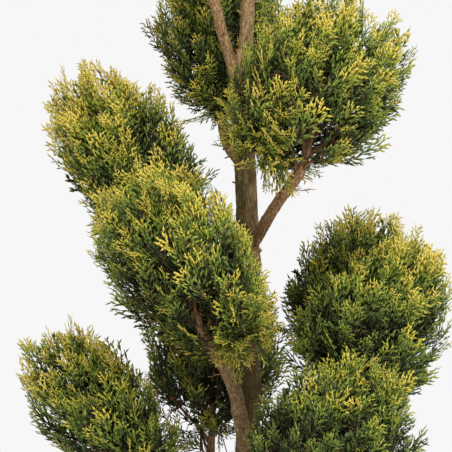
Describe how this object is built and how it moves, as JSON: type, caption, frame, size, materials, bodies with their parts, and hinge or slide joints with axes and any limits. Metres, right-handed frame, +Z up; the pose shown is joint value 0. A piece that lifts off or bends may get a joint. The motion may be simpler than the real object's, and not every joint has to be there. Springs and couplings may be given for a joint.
{
  "type": "potted cloud topiary",
  "caption": "Cloud-pruned golden cypress: clipped heads of foliage on upswept boughs round a forked trunk, in a plain tapered pot.",
  "frame": {"origin": "centre of the pot's flat underside, on the floor", "axes": "+Z up along the trunk; +X to the right and -Y towards the viewer of the plant's front"},
  "size_m": [0.6258, 0.571, 1.7415],
  "materials": {
    "bark": "rough fissured bark",
    "foliage": "matt scale leaves, golden at their tips",
    "pot": "moulded matt plastic",
    "soil": "crumbly potting soil"
  },
  "bodies": {
    "root": {"bough_lower_back": "bark", "bough_lower_left": "bark", "bough_lower_right": "bark", "bough_lower_right_back": "bark", "bough_middle_front": "bark", "bough_middle_left": "bark", "bough_middle_right": "bark", "bough_middle_right_back": "bark", "bough_top_right": "bark", "bough_upper_left_back": "bark", "bough_upper_right": "bark", "foliage_crown": "foliage", "foliage_lower_back": "foliage", "foliage_lower_left": "foliage", "foliage_lower_right": "foliage", "foliage_lower_right_back": "foliage", "foliage_middle_front": "foliage", "foliage_middle_left": "foliage", "foliage_middle_right": "foliage", "foliage_middle_right_back": "foliage", "foliage_top_left": "foliage", "foliage_top_right": "foliage", "foliage_upper_left_back": "foliage", "foliage_upper_right": "foliage", "leader_left": "bark", "leader_right": "bark", "pot": "pot", "soil": "soil", "trunk": "bark"}
  },
  "joints": []
}
